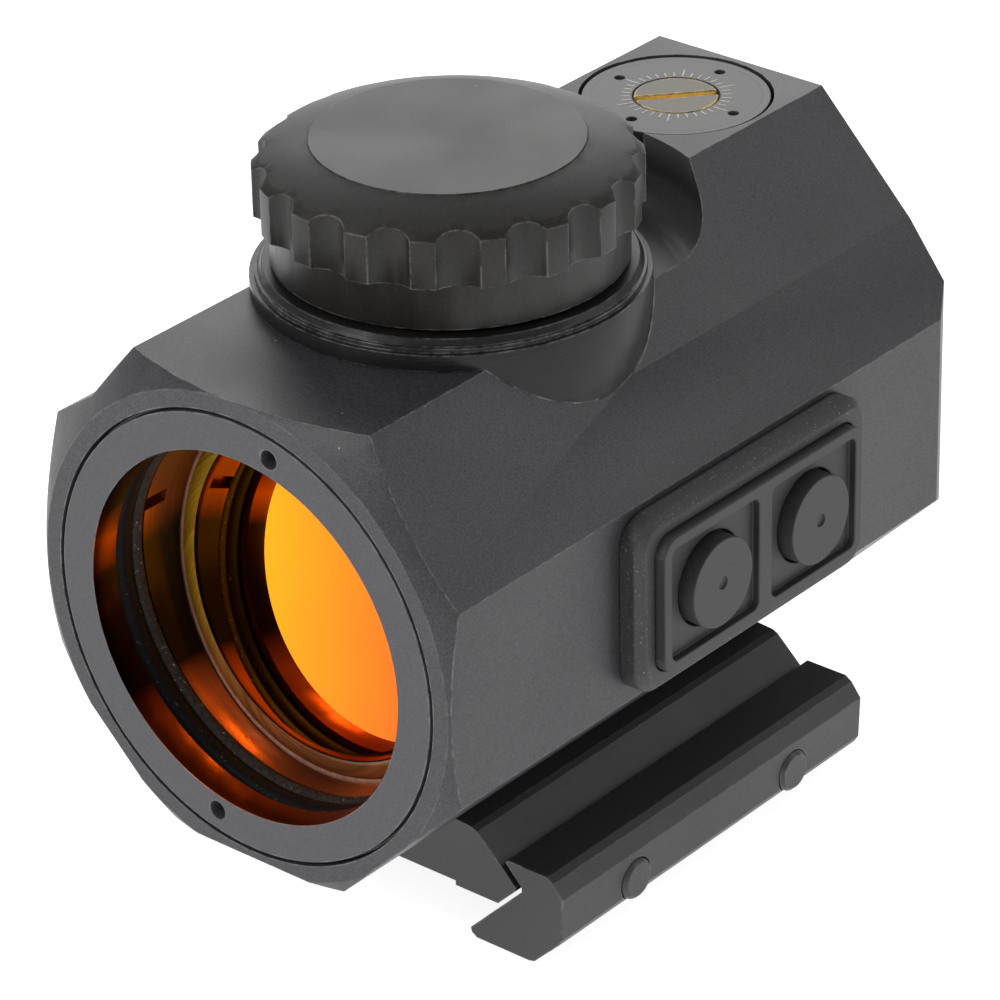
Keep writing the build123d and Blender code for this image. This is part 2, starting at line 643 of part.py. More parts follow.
with BuildPart() as cap_o_ring:
    with BuildSketch(Plane.XZ.offset(-TURRET_Y)):
        with Locations((O_RING_RADIUS, BASE_TOP + O_RING_SECTION + 0.05)):
            Circle(O_RING_SECTION)
    revolve(axis=Axis((0, TURRET_Y, 0), (0, 0, 1)))
cap_o_ring.part.label = "cap_o_ring"
export_step(cap_o_ring.part, "parts/cap_o_ring.step")

with BuildPart() as coin_cell:
    cell_step = CELL_BOTTOM + CELL_STEP_HEIGHT
    upright_stage(TURRET_Y, CELL_BOTTOM, cell_step, CELL_RADIUS - CELL_STEP_INSET)
    upright_stage(TURRET_Y, cell_step, CELL_BOTTOM + CELL_HEIGHT, CELL_RADIUS)
coin_cell.part.label = "coin_cell"
export_step(coin_cell.part, "parts/coin_cell.step")

with BuildPart() as cell_contact:
    with BuildSketch(Plane.XY.offset(CUP_FLOOR + 0.02)):
        with Locations((0, TURRET_Y)):
            Rectangle(CONTACT_LENGTH, CONTACT_WIDTH)
    extrude(amount=CONTACT_THICKNESS)
cell_contact.part.label = "cell_contact"
export_step(cell_contact.part, "parts/cell_contact.step")

contact_bottom = CELL_BOTTOM + CELL_HEIGHT + 0.08
with BuildPart() as cap_contact:
    contact_top = contact_bottom + CAP_CONTACT_THICKNESS
    upright_stage(TURRET_Y, contact_bottom, contact_top, CAP_CONTACT_RADIUS)
cap_contact.part.label = "cap_contact"
export_step(cap_contact.part, "parts/cap_contact.step")

# Coil spring between the cap and its contact disc.
spring_bottom = contact_top + SPRING_WIRE
spring_top = CAP_CEILING - SPRING_WIRE - 0.05
with BuildPart() as cap_spring:
    with BuildLine() as spring_path:
        Helix(
            pitch=(spring_top - spring_bottom) / SPRING_TURNS,
            height=spring_top - spring_bottom,
            radius=SPRING_RADIUS,
            center=(0, TURRET_Y, spring_bottom),
        )
    with BuildSketch(Plane(origin=spring_path.line @ 0, z_dir=spring_path.line % 0)):
        Circle(SPRING_WIRE)
    sweep(path=spring_path.line)
cap_spring.part.label = "cap_spring"
export_step(cap_spring.part, "parts/cap_spring.step")


# ---- keypad ----
with BuildPart() as circuit_board:
    with BuildSketch(plate(BOARD_BOTTOM)):
        RectangleRounded(2 * BOARD_POCKET_HALF_Y - 0.4, 2 * BOARD_POCKET_HALF_Z - 0.4, 0.8)
    extrude(amount=BOARD_THICKNESS)
circuit_board.part.label = "circuit_board"
export_step(circuit_board.part, "parts/circuit_board.step")

with BuildPart() as switch_domes:
    with BuildSketch(plate(BOARD_BOTTOM + BOARD_THICKNESS)):
        with Locations((-BUTTON_OFFSET, 0), (BUTTON_OFFSET, 0)):
            Circle(DOME_RADIUS)
    extrude(amount=DOME_HEIGHT, taper=60)
switch_domes.part.label = "switch_domes"
export_step(switch_domes.part, "parts/switch_domes.step")

with BuildPart() as keypad_bezel:
    with BuildSketch(plate(0)):
        RectangleRounded(2 * BEZEL_HALF_Y, 2 * BEZEL_HALF_Z, BEZEL_CORNER)
    extrude(amount=BEZEL_HEIGHT)
    outer_rim = keypad_bezel.faces().sort_by(Axis.X)[-1].outer_wire().edges()
    chamfer(outer_rim, length=BEZEL_BEVEL)
    with BuildSketch(plate(0)):
        RectangleRounded(
            2 * (PAD_HALF_Y + PAD_GAP),
            2 * (PAD_HALF_Z + PAD_GAP),
            PAD_CORNER + PAD_GAP,
        )
    extrude(amount=BEZEL_HEIGHT, mode=Mode.SUBTRACT)
    # rebate underneath that traps the rim of the rubber pad
    with BuildSketch(plate(0)):
        RectangleRounded(
            2 * (PAD_HALF_Y + PAD_FLANGE + PAD_GAP),
            2 * (PAD_HALF_Z + PAD_FLANGE + PAD_GAP),
            PAD_CORNER + PAD_FLANGE + PAD_GAP,
        )
    extrude(amount=PAD_FLANGE_THICKNESS + PAD_GAP / 2, mode=Mode.SUBTRACT)
keypad_bezel.part.label = "keypad_bezel"
export_step(keypad_bezel.part, "parts/keypad_bezel.step")

with BuildPart() as keypad_rubber:
    with BuildSketch(plate(PAD_PLUG_BOTTOM)):
        RectangleRounded(2 * BOARD_POCKET_HALF_Y - 0.2, 2 * BOARD_POCKET_HALF_Z - 0.2, 0.9)
    extrude(amount=-PAD_PLUG_BOTTOM)
    with BuildSketch(plate(0)):
        RectangleRounded(2 * (PAD_HALF_Y + PAD_FLANGE), 2 * (PAD_HALF_Z + PAD_FLANGE), PAD_CORNER + PAD_FLANGE)
    extrude(amount=PAD_FLANGE_THICKNESS)
    with BuildSketch(plate(0)):
        RectangleRounded(2 * PAD_HALF_Y, 2 * PAD_HALF_Z, PAD_CORNER)
    extrude(amount=PAD_HEIGHT)
    # two shallow square fields, one round each button
    with BuildSketch(plate(PAD_HEIGHT - POCKET_DEPTH)):
        with Locations((-BUTTON_OFFSET, 0), (BUTTON_OFFSET, 0)):
            RectangleRounded(2 * POCKET_HALF_Y, 2 * POCKET_HALF_Z, POCKET_CORNER)
    extrude(amount=POCKET_DEPTH, mode=Mode.SUBTRACT)
    # wells for the button heads and holes for their stems
    with BuildSketch(plate(BUTTON_WELL_FLOOR)):
        with Locations((-BUTTON_OFFSET, 0), (BUTTON_OFFSET, 0)):
            Circle(BUTTON_HOLE_RADIUS)
    extrude(amount=PAD_HEIGHT, mode=Mode.SUBTRACT)
    with BuildSketch(plate(PAD_PLUG_BOTTOM)):
        with Locations((-BUTTON_OFFSET, 0), (BUTTON_OFFSET, 0)):
            Circle(STEM_HOLE_RADIUS)
    extrude(amount=PAD_HEIGHT, mode=Mode.SUBTRACT)
keypad_rubber.part.label = "keypad_rubber"
export_step(keypad_rubber.part, "parts/keypad_rubber.step")


def button_solid(offset):
    """One keypad button: round head with a small dimple, on a stem that reaches its switch."""
    centre_y = KEYPAD_Y + offset
    head_bottom = SIDE_X + BUTTON_UNDERSIDE
    head_top = SIDE_X + BUTTON_TOP
    sideways_stage(centre_y, KEYPAD_Z, head_bottom, head_top, BUTTON_RADIUS)
    sideways_stage(centre_y, KEYPAD_Z, head_top - DIMPLE_DEPTH, head_top + 1, DIMPLE_RADIUS, Mode.SUBTRACT)
    sideways_stage(centre_y, KEYPAD_Z, SIDE_X + STEM_TIP, head_bottom, STEM_RADIUS)


with BuildPart() as button_front:
    button_solid(-BUTTON_OFFSET)
button_front.part.label = "button_front"
export_step(button_front.part, "parts/button_front.step")

with BuildPart() as button_rear:
    button_solid(BUTTON_OFFSET)
button_rear.part.label = "button_rear"
export_step(button_rear.part, "parts/button_rear.step")


# ---- elevation adjuster, stacked down from the deck ----
with BuildPart() as elevation_dial:
    upright_stage(DIAL_Y, DECK_Z - DIAL_RECESS_DEPTH, DECK_Z - DIAL_RECESS_DEPTH + DIAL_THICKNESS, DIAL_RADIUS)
    upright_stage(DIAL_Y, DECK_Z - 3, DECK_Z + 1, DIAL_HOLE_RADIUS, Mode.SUBTRACT)
    with BuildSketch(Plane.XY.offset(DECK_Z - 0.9)):
        with Locations((0, DIAL_Y)):
            with PolarLocations(DIAL_PIN_PITCH_RADIUS, 4):
                Circle(DIAL_PIN_RADIUS)
    extrude(amount=1.0, mode=Mode.SUBTRACT)
elevation_dial.part.label = "elevation_dial"
export_step(elevation_dial.part, "parts/elevation_dial.step")

with BuildPart() as elevation_screw:
    upright_stage(DIAL_Y, DECK_Z - NECK_BOTTOM, DECK_Z - FLANGE_BOTTOM, SCREW_NECK_RADIUS)
    upright_stage(DIAL_Y, DECK_Z - FLANGE_BOTTOM, DECK_Z - FLANGE_TOP, SCREW_FLANGE_RADIUS)
    upright_stage(DIAL_Y, DECK_Z - FLANGE_TOP, DECK_Z - SCREW_HEAD_DROP, SCREW_HEAD_RADIUS)
    with BuildSketch(Plane.XY.offset(DECK_Z - SCREW_HEAD_DROP - SLOT_DEPTH)):
        with Locations(Location((0, DIAL_Y, 0), (0, 0, ELEVATION_SLOT_ANGLE))):
            Rectangle(2 * SCREW_HEAD_RADIUS + 1, SLOT_WIDTH)
    extrude(amount=SLOT_DEPTH, mode=Mode.SUBTRACT)
    bore_top = DECK_Z - PUSHER_BORE_TOP
    upright_stage(DIAL_Y, DECK_Z - NECK_BOTTOM, bore_top, PUSHER_RADIUS + 0.05, Mode.SUBTRACT)
elevation_screw.part.label = "elevation_screw"
export_step(elevation_screw.part, "parts/elevation_screw.step")

with BuildPart() as elevation_pusher:
    upright_stage(DIAL_Y, OPTICAL_Z + PUSHER_TIP, DECK_Z - 2.1, PUSHER_RADIUS)
elevation_pusher.part.label = "elevation_pusher"
export_step(elevation_pusher.part, "parts/elevation_pusher.step")


# ---- windage adjuster, stacked in from the side boss ----
with BuildPart() as windage_dial:
    sideways_stage(DIAL_Y, OPTICAL_Z, recess_x - DIAL_THICKNESS, recess_x, DIAL_RADIUS)
    sideways_stage(DIAL_Y, OPTICAL_Z, recess_x - 3, recess_x + 1, DIAL_HOLE_RADIUS, Mode.SUBTRACT)
    with BuildSketch(lengthwise(-WINDAGE_FACE)):
        with Locations((DIAL_Y, OPTICAL_Z)):
            with PolarLocations(DIAL_PIN_PITCH_RADIUS, 4):
                Circle(DIAL_PIN_RADIUS)
    extrude(amount=0.9, mode=Mode.SUBTRACT)
windage_dial.part.label = "windage_dial"
export_step(windage_dial.part, "parts/windage_dial.step")

with BuildPart() as windage_screw:
    sideways_stage(DIAL_Y, OPTICAL_Z, -WINDAGE_FACE + 0.1, recess_x + 0.1, SCREW_HEAD_RADIUS)
    sideways_stage(DIAL_Y, OPTICAL_Z, recess_x + 0.1, recess_x + 1.45, SCREW_FLANGE_RADIUS)
    sideways_stage(DIAL_Y, OPTICAL_Z, recess_x + 1.45, recess_x + 2.6, SCREW_NECK_RADIUS)
    with BuildSketch(lengthwise(-WINDAGE_FACE + 0.1)):
        with Locations((DIAL_Y, OPTICAL_Z)):
            Rectangle(2 * SCREW_HEAD_RADIUS + 1, SLOT_WIDTH)
    extrude(amount=SLOT_DEPTH, mode=Mode.SUBTRACT)
    sideways_stage(DIAL_Y, OPTICAL_Z, recess_x - 0.2, recess_x + 4, PUSHER_RADIUS + 0.05, Mode.SUBTRACT)
windage_screw.part.label = "windage_screw"
export_step(windage_screw.part, "parts/windage_screw.step")

with BuildPart() as windage_pusher:
    sideways_stage(DIAL_Y, OPTICAL_Z, recess_x + 0.5, -PUSHER_TIP, PUSHER_RADIUS)
windage_pusher.part.label = "windage_pusher"
export_step(windage_pusher.part, "parts/windage_pusher.step")


# ---- rail mount ----
with BuildPart() as mount_base:
    with BuildSketch(across(MOUNT_HALF_LENGTH)):
        with BuildLine():
            Polyline(
                (-BOTTOM_HALF, BOTTOM_Z),
                (BOTTOM_HALF, BOTTOM_Z),
                (10.1, 5.55),
                (10.6, 5.3),
                (12.9, 3.15),
                (14.3, 1.75),
                (14.3, 1.4),
                (12.5, -SEAT_STEP),
                (SEAT_HALF, -SEAT_STEP),
                (SEAT_HALF, 0),
                (-SEAT_HALF, 0),
                (-SEAT_HALF, -SEAT_STEP),
                (-GRIP_LINE + SEAT_STEP, -SEAT_STEP),
                (-LIP_TIP_X, LIP_TIP_X - GRIP_LINE),
                (-LIP_TIP_X - 0.1, LIP_BOTTOM + 0.35),
                (-LIP_TIP_X - 0.6, LIP_BOTTOM),
                (-15.6, LIP_BOTTOM),
                (-18.7, -1.6),
                (-18.9, 2.3),
                (-17.6, 3.9),
                (-12.2, 3.9),
                (-10.6, 5.3),
                (-10.1, 5.55),
                close=True,
            )
        make_face()
    extrude(amount=2 * MOUNT_HALF_LENGTH)
    for bolt_y in (-BOLT_OFFSET, BOLT_OFFSET):
        sideways_stage(bolt_y, BOLT_Z, -25, 25, BOLT_RADIUS + BOLT_CLEARANCE, Mode.SUBTRACT)
    for screw_y in (-MOUNT_SCREW_OFFSET, MOUNT_SCREW_OFFSET):
        upright_stage(screw_y, -1, BOTTOM_Z + 1, MOUNT_SCREW_RADIUS + 0.1, Mode.SUBTRACT)
        upright_stage(screw_y, -1, 2.6, MOUNT_SCREW_HEAD_RADIUS + 0.1, Mode.SUBTRACT)
mount_base.part.label = "mount_base"
export_step(mount_base.part, "parts/mount_base.step")

with BuildPart() as mount_screws:
    for screw_y in (-MOUNT_SCREW_OFFSET, MOUNT_SCREW_OFFSET):
        upright_stage(screw_y, MOUNT_SCREW_HEAD_BOTTOM, MOUNT_SCREW_HEAD_TOP, MOUNT_SCREW_HEAD_RADIUS)
        upright_stage(screw_y, MOUNT_SCREW_HEAD_TOP, BOTTOM_Z + 1.9, MOUNT_SCREW_RADIUS)
        with BuildSketch(Plane.XY.offset(MOUNT_SCREW_HEAD_BOTTOM)):
            with Locations((0, screw_y)):
                RegularPolygon(MOUNT_SCREW_SOCKET, 6)
        extrude(amount=1.3, mode=Mode.SUBTRACT)
mount_screws.part.label = "mount_screws"
export_step(mount_screws.part, "parts/mount_screws.step")

with BuildPart() as clamp_bar:
    with BuildSketch(across(MOUNT_HALF_LENGTH)):
        with BuildLine():
            Polyline(
                (13.3, 3.6),
                (13.6, 3.9),
                (17.4, 3.9),
                (18.0, 3.5),
                (18.9, 2.3),
                (18.75, -1.3),
                (18.4, -1.9),
                (16.0, -4.25),
                (15.5, LIP_BOTTOM),
                (LIP_TIP_X + 0.6, LIP_BOTTOM),
                (LIP_TIP_X + 0.1, LIP_BOTTOM + 0.35),
                (LIP_TIP_X, LIP_TIP_X - GRIP_LINE),
                (14.85, 14.85 - GRIP_LINE),
                (14.85, 1.95),
                close=True,
            )
        make_face()
    extrude(amount=2 * MOUNT_HALF_LENGTH)
    for bolt_y in (-BOLT_OFFSET, BOLT_OFFSET):
        sideways_stage(bolt_y, BOLT_Z, 5, BOLT_SHOULDER_X - 0.4, BOLT_RADIUS + BOLT_CLEARANCE, Mode.SUBTRACT)
        sideways_stage(bolt_y, BOLT_Z, 15, 25, BOLT_TIP_RADIUS + BOLT_CLEARANCE, Mode.SUBTRACT)
clamp_bar.part.label = "clamp_bar"
export_step(clamp_bar.part, "parts/clamp_bar.step")


def cross_bolt(bolt_y):
    """Clamp bolt: socket head outside the fixed jaw, shank under the seat, tip through the bar."""
    shank_end = BOLT_SHOULDER_X - 0.6
    sideways_stage(bolt_y, BOLT_Z, BOLT_HEAD_OUTER_X, BOLT_HEAD_INNER_X, BOLT_HEAD_RADIUS)
    sideways_stage(bolt_y, BOLT_Z, BOLT_HEAD_INNER_X, shank_end, BOLT_RADIUS)
    tip_start = BOLT_TIP_X - BOLT_TIP_CHAMFER
    sideways_stage(bolt_y, BOLT_Z, shank_end, tip_start, BOLT_TIP_RADIUS)
    with BuildSketch(lengthwise(tip_start)) as tip_outline:
        with Locations((bolt_y, BOLT_Z)):
            Circle(BOLT_TIP_RADIUS)
    extrude(tip_outline.sketch, amount=BOLT_TIP_CHAMFER, taper=45)
    with BuildSketch(lengthwise(BOLT_HEAD_OUTER_X)) as socket_outline:
        with Locations((bolt_y, BOLT_Z)):
            RegularPolygon(BOLT_SOCKET, 6)
    extrude(socket_outline.sketch, amount=BOLT_SOCKET_DEPTH, mode=Mode.SUBTRACT)


with BuildPart() as cross_bolt_front:
    cross_bolt(-BOLT_OFFSET)
cross_bolt_front.part.label = "cross_bolt_front"
export_step(cross_bolt_front.part, "parts/cross_bolt_front.step")

with BuildPart() as cross_bolt_rear:
    cross_bolt(BOLT_OFFSET)
cross_bolt_rear.part.label = "cross_bolt_rear"
export_step(cross_bolt_rear.part, "parts/cross_bolt_rear.step")
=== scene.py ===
import math

import bmesh
import bpy
from mathutils import Matrix, Vector


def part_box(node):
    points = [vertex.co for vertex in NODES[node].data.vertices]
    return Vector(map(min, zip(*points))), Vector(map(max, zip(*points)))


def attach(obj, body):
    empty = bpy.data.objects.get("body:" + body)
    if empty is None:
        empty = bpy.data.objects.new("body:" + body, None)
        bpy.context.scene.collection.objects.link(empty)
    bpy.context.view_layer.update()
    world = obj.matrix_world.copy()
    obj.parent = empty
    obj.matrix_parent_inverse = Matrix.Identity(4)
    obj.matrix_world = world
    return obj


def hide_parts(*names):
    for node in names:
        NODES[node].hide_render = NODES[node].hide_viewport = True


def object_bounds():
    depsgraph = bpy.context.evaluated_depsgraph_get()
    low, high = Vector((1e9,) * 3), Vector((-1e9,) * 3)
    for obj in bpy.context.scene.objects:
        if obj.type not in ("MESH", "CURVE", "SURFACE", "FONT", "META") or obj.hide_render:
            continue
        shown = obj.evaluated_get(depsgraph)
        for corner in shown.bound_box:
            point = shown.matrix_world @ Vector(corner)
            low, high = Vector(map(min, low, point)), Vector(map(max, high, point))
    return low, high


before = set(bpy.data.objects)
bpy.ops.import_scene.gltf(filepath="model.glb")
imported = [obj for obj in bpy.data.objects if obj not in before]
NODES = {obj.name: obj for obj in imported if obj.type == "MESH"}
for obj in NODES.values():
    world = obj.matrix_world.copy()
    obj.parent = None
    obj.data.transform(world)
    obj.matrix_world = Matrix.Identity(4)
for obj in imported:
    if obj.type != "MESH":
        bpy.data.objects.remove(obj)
cad_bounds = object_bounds()

MM = 0.001


def span(node):
    """Lowest and highest corner of a CAD node, as vectors in metres."""
    low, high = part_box(node)
    return Vector(low), Vector(high)


# ---- driving places, read from the frame ----
ring_low, ring_high = span("front_locking_ring")
OPTICAL_Z = (ring_low.z + ring_high.z) / 2
FRONT_Y = ring_low.y
seal_low, seal_high = span("front_seal_ring")
dial_low, dial_high = span("elevation_dial")
side_dial_low, side_dial_high = span("windage_dial")
dial_middle = (dial_low + dial_high) / 2
side_dial_middle = (side_dial_low + side_dial_high) / 2
TOP_SCREW_FACE = span("elevation_screw")[1].z
SIDE_SCREW_FACE = span("windage_screw")[0].x
FLOOR_Z = cad_bounds[0][2]

# ---- front lens, as the CAD part makes it ----
LENS_TILT = math.radians(7.5)
LENS_RIM_Y = FRONT_Y + 9.9 * MM
LENS_RADIUS = 15.9 * MM
LENS_EDGE = 2.2 * MM
LENS_BULGE = 1.05 * MM
LENS_HOLLOW = 0.9 * MM
LENS_BAND_OUTER = 15.0 * MM
LENS_BAND_INNER = 13.5 * MM
APERTURE_RADIUS = 15.0 * MM


# ---- material nodes ----
def new_material(name):
    """Empty node material with one Principled shader."""
    material = bpy.data.materials.new(name)
    material.use_nodes = True
    tree = material.node_tree
    shader = tree.nodes["Principled BSDF"]
    return material, tree, shader


def object_point(tree):
    """Object-space position, so that the grain keeps its size in metres."""
    return tree.nodes.new("ShaderNodeTexCoord").outputs["Object"]


def noise(tree, vector, scale, detail=2.0, roughness=0.5):
    """Noise texture on a position socket; returns its factor socket."""
    node = tree.nodes.new("ShaderNodeTexNoise")
    node.inputs["Scale"].default_value = scale
    node.inputs["Detail"].default_value = detail
    node.inputs["Roughness"].default_value = roughness
    tree.links.new(vector, node.inputs["Vector"])
    return node.outputs["Fac"]


def stretched(tree, vector, scale):
    """Position scaled by a different amount along each axis, for brushed and turned marks."""
    node = tree.nodes.new("ShaderNodeMapping")
    node.inputs["Scale"].default_value = scale
    tree.links.new(vector, node.inputs["Vector"])
    return node.outputs["Vector"]


def ramp(tree, factor, low, high, dark, light):
    """Colour ramp between two colours over a factor range."""
    node = tree.nodes.new("ShaderNodeValToRGB")
    node.color_ramp.elements[0].position = low
    node.color_ramp.elements[0].color = (*dark, 1.0)
    node.color_ramp.elements[1].position = high
    node.color_ramp.elements[1].color = (*light, 1.0)
    tree.links.new(factor, node.inputs["Fac"])
    return node.outputs["Color"]


def remap(tree, factor, low, high, out_low, out_high):
    """Linear remap of a factor, clamped to its ends."""
    node = tree.nodes.new("ShaderNodeMapRange")
    node.inputs["From Min"].default_value = low
    node.inputs["From Max"].default_value = high
    node.inputs["To Min"].default_value = out_low
    node.inputs["To Max"].default_value = out_high
    tree.links.new(factor, node.inputs["Value"])
    return node.outputs["Result"]


def calculate(tree, operation, first, second):
    """Two-input maths node; either input is a socket or a number."""
    node = tree.nodes.new("ShaderNodeMath")
    node.operation = operation
    for place, value in enumerate((first, second)):
        if isinstance(value, (int, float)):
            node.inputs[place].default_value = value
        else:
            tree.links.new(value, node.inputs[place])
    return node.outputs[0]


def blend_colours(tree, factor, first, second):
    """Mix of two colours (sockets or tuples) by a factor socket."""
    node = tree.nodes.new("ShaderNodeMix")
    node.data_type = "RGBA"
    tree.links.new(factor, node.inputs["Factor"])
    for place, value in (("A", first), ("B", second)):
        socket = [s for s in node.inputs if s.name == place and s.type == "RGBA"][0]
        if isinstance(value, tuple):
            socket.default_value = (*value, 1.0)
        else:
            tree.links.new(value, socket)
    return [s for s in node.outputs if s.type == "RGBA"][0]


def bump(tree, height, strength, distance, normal=None):
    """Bump from a height socket; returns the normal socket."""
    node = tree.nodes.new("ShaderNodeBump")
    node.inputs["Strength"].default_value = strength
    node.inputs["Distance"].default_value = distance
    tree.links.new(height, node.inputs["Height"])
    if normal is not None:
        tree.links.new(normal, node.inputs["Normal"])
    return node.outputs["Normal"]


def edge_wear_and_glint(tree, point, radius=0.2 * MM):
    """Factor that is high on sharp edges, broken up by noise, from a rounded normal against the true one; it
    places edge wear and painted edge highlights.
    """
    rounded = tree.nodes.new("ShaderNodeBevel")
    rounded.samples = 4
    rounded.inputs["Radius"].default_value = radius
    true = tree.nodes.new("ShaderNodeNewGeometry").outputs["Normal"]
    dot = tree.nodes.new("ShaderNodeVectorMath")
    dot.operation = "DOT_PRODUCT"
    tree.links.new(rounded.outputs["Normal"], dot.inputs[0])
    tree.links.new(true, dot.inputs[1])
    sharp = remap(tree, dot.outputs["Value"], 0.93, 0.998, 1.0, 0.0)
    patchy = remap(tree, noise(tree, point, 700.0, 4.0, 0.7), 0.42, 0.62, 0.0, 1.0)
    return calculate(tree, "MULTIPLY", sharp, patchy)


def dust(tree, point, scale=520.0, share=0.93):
    """Sparse tiny specks: one small dot in a few of many cells."""
    cells = tree.nodes.new("ShaderNodeTexVoronoi")
    cells.inputs["Scale"].default_value = scale
    tree.links.new(point, cells.inputs["Vector"])
    near = remap(tree, cells.outputs["Distance"], 0.02, 0.05, 1.0, 0.0)
    split = tree.nodes.new("ShaderNodeSeparateColor")
    tree.links.new(cells.outputs["Color"], split.inputs["Color"])
    chosen = calculate(tree, "GREATER_THAN", split.outputs[0], share)
    return calculate(tree, "MULTIPLY", near, chosen)


def turned_height(tree, point, axis_place, across_scale):
    """Fine turning marks: noise that changes quickly along one axis only."""
    along_scale = 60.0
    scale = [along_scale] * 3
    scale[axis_place] = across_scale
    return noise(tree, stretched(tree, point, scale), 1.0, 3.0, 0.6)


def axis_radius(tree, point, first, first_centre, second, second_centre):
    """Distance from an axis through two centre values, in metres."""
    parts = tree.nodes.new("ShaderNodeSeparateXYZ")
    tree.links.new(point, parts.inputs[0])
    a = calculate(tree, "SUBTRACT", parts.outputs[first], first_centre)
    b = calculate(tree, "SUBTRACT", parts.outputs[second], second_centre)
    a2 = calculate(tree, "MULTIPLY", a, a)
    b2 = calculate(tree, "MULTIPLY", b, b)
    return calculate(tree, "SQRT", calculate(tree, "ADD", a2, b2), 0.0)


# Light grey laid on sharp edges: edge wear and painted edge highlight.
WEAR_AND_GLINT_TONE = (0.4, 0.39, 0.38)
DUST_TONE = (0.45, 0.43, 0.4)


# How strongly edge wear and painted edge highlight lighten the tone.
WEAR_AND_GLINT_SHARE = 0.55


def anodised(name, dark, light, roughness, grain=9000.0, grain_depth=12e-6, specular=0.5):
    """Bead-blasted, dyed aluminium: two close dark tones, fine grain, uneven gloss, worn edges with painted
    edge highlights, dust.
    """
    material, tree, shader = new_material(name)
    point = object_point(tree)
    fine = noise(tree, point, grain, 2.0, 0.6)
    broad = noise(tree, point, 90.0, 3.0, 0.55)
    tone = ramp(tree, fine, 0.32, 0.72, dark, light)
    # Edges lightened by wear and by a painted edge highlight.
    wear_and_glint = calculate(tree, "MULTIPLY", edge_wear_and_glint(tree, point), WEAR_AND_GLINT_SHARE)
    tone = blend_colours(tree, wear_and_glint, tone, WEAR_AND_GLINT_TONE)
    tone = blend_colours(tree, dust(tree, point), tone, DUST_TONE)
    tree.links.new(tone, shader.inputs["Base Color"])
    uneven = remap(tree, broad, 0.3, 0.7, roughness - 0.04, roughness + 0.05)
    tree.links.new(uneven, shader.inputs["Roughness"])
    tree.links.new(bump(tree, fine, 0.5, grain_depth), shader.inputs["Normal"])
    shader.inputs["Specular IOR Level"].default_value = specular
    return material


def turned(name, dark, light, axis_place, roughness=0.32, depth=9e-6):
    """Black turned aluminium with fine circular tool marks along one axis, and worn edges with painted edge
    highlights.
    """
    material, tree, shader = new_material(name)
    point = object_point(tree)
    marks = turned_height(tree, point, axis_place, 16000.0)
    tone = ramp(tree, marks, 0.3, 0.75, dark, light)
    # Edges lightened by wear and by a painted edge highlight.
    wear_and_glint = calculate(tree, "MULTIPLY", edge_wear_and_glint(tree, point), 0.6)
    tone = blend_colours(tree, wear_and_glint, tone, WEAR_AND_GLINT_TONE)
    tree.links.new(tone, shader.inputs["Base Color"])
    uneven = remap(tree, marks, 0.3, 0.7, roughness - 0.05, roughness + 0.08)
    tree.links.new(uneven, shader.inputs["Roughness"])
    tree.links.new(bump(tree, marks, 0.6, depth), shader.inputs["Normal"])
    shader.inputs["Specular IOR Level"].default_value = 0.28
    return material


DIAL_LINE_RADIUS = 6.7 * MM


def dial_metal(name, first, first_centre, second, second_centre):
    """Satin dial face with faint concentric rings about its own axis."""
    material, tree, shader = new_material(name)
    point = object_point(tree)
    radius = axis_radius(tree, point, first, first_centre, second, second_centre)
    waves = tree.nodes.new("ShaderNodeMath")
    waves.operation = "SINE"
    tree.links.new(calculate(tree, "MULTIPLY", radius, 42000.0), waves.inputs[0])
    fine = noise(tree, point, 7000.0, 2.0, 0.6)
    tone = ramp(tree, fine, 0.3, 0.75, (0.036, 0.034, 0.033), (0.062, 0.059, 0.056))
    away = calculate(tree, "ABSOLUTE", calculate(tree, "SUBTRACT", radius, DIAL_LINE_RADIUS), 0.0)
    inner_line = remap(tree, away, 0.04 * MM, 0.1 * MM, 1.0, 0.0)
    tone = blend_colours(tree, inner_line, tone, (0.012, 0.012, 0.012))
    tree.links.new(tone, shader.inputs["Base Color"])
    shader.inputs["Roughness"].default_value = 0.4
    grooves = bump(tree, waves.outputs[0], 0.25, 2.5e-6)
    tree.links.new(bump(tree, fine, 0.3, 8e-6, grooves), shader.inputs["Normal"])
    return material


def rubber(name, dark, light, grain, depth, speck=0.0, gloss=0.5):
    """Matte black silicone or plastic with a fine grain and a few light specks."""
    material, tree, shader = new_material(name)
    point = object_point(tree)
    fine = noise(tree, point, grain, 3.0, 0.65)
    tone = ramp(tree, fine, 0.3, 0.7, dark, light)
    if speck:
        sparkle = remap(tree, noise(tree, point, grain * 0.9, 1.0, 0.5), 0.68, 0.76, 0.0, speck)
        tone = blend_colours(tree, sparkle, tone, (0.4, 0.38, 0.35))
    tone = blend_colours(tree, dust(tree, point, 620.0), tone, DUST_TONE)
    tree.links.new(tone, shader.inputs["Base Color"])
    tree.links.new(remap(tree, fine, 0.3, 0.7, 0.5, 0.62), shader.inputs["Roughness"])
    tree.links.new(bump(tree, fine, 0.6, depth), shader.inputs["Normal"])
    shader.inputs["Specular IOR Level"].default_value = gloss
    return material


def plain_metal(name, colour, roughness, grain=5000.0):
    """Bare or plated metal with slight tonal and gloss variation."""
    material, tree, shader = new_material(name)
    point = object_point(tree)
    fine = noise(tree, point, grain, 3.0, 0.6)
    darker = tuple(0.75 * c for c in colour)
    tree.links.new(ramp(tree, fine, 0.3, 0.7, darker, colour), shader.inputs["Base Color"])
    uneven = remap(tree, fine, 0.3, 0.7, roughness - 0.04, roughness + 0.08)
    tree.links.new(uneven, shader.inputs["Roughness"])
    tree.links.new(bump(tree, fine, 0.4, 5e-6), shader.inputs["Normal"])
    shader.inputs["Metallic"].default_value = 1.0
    return material


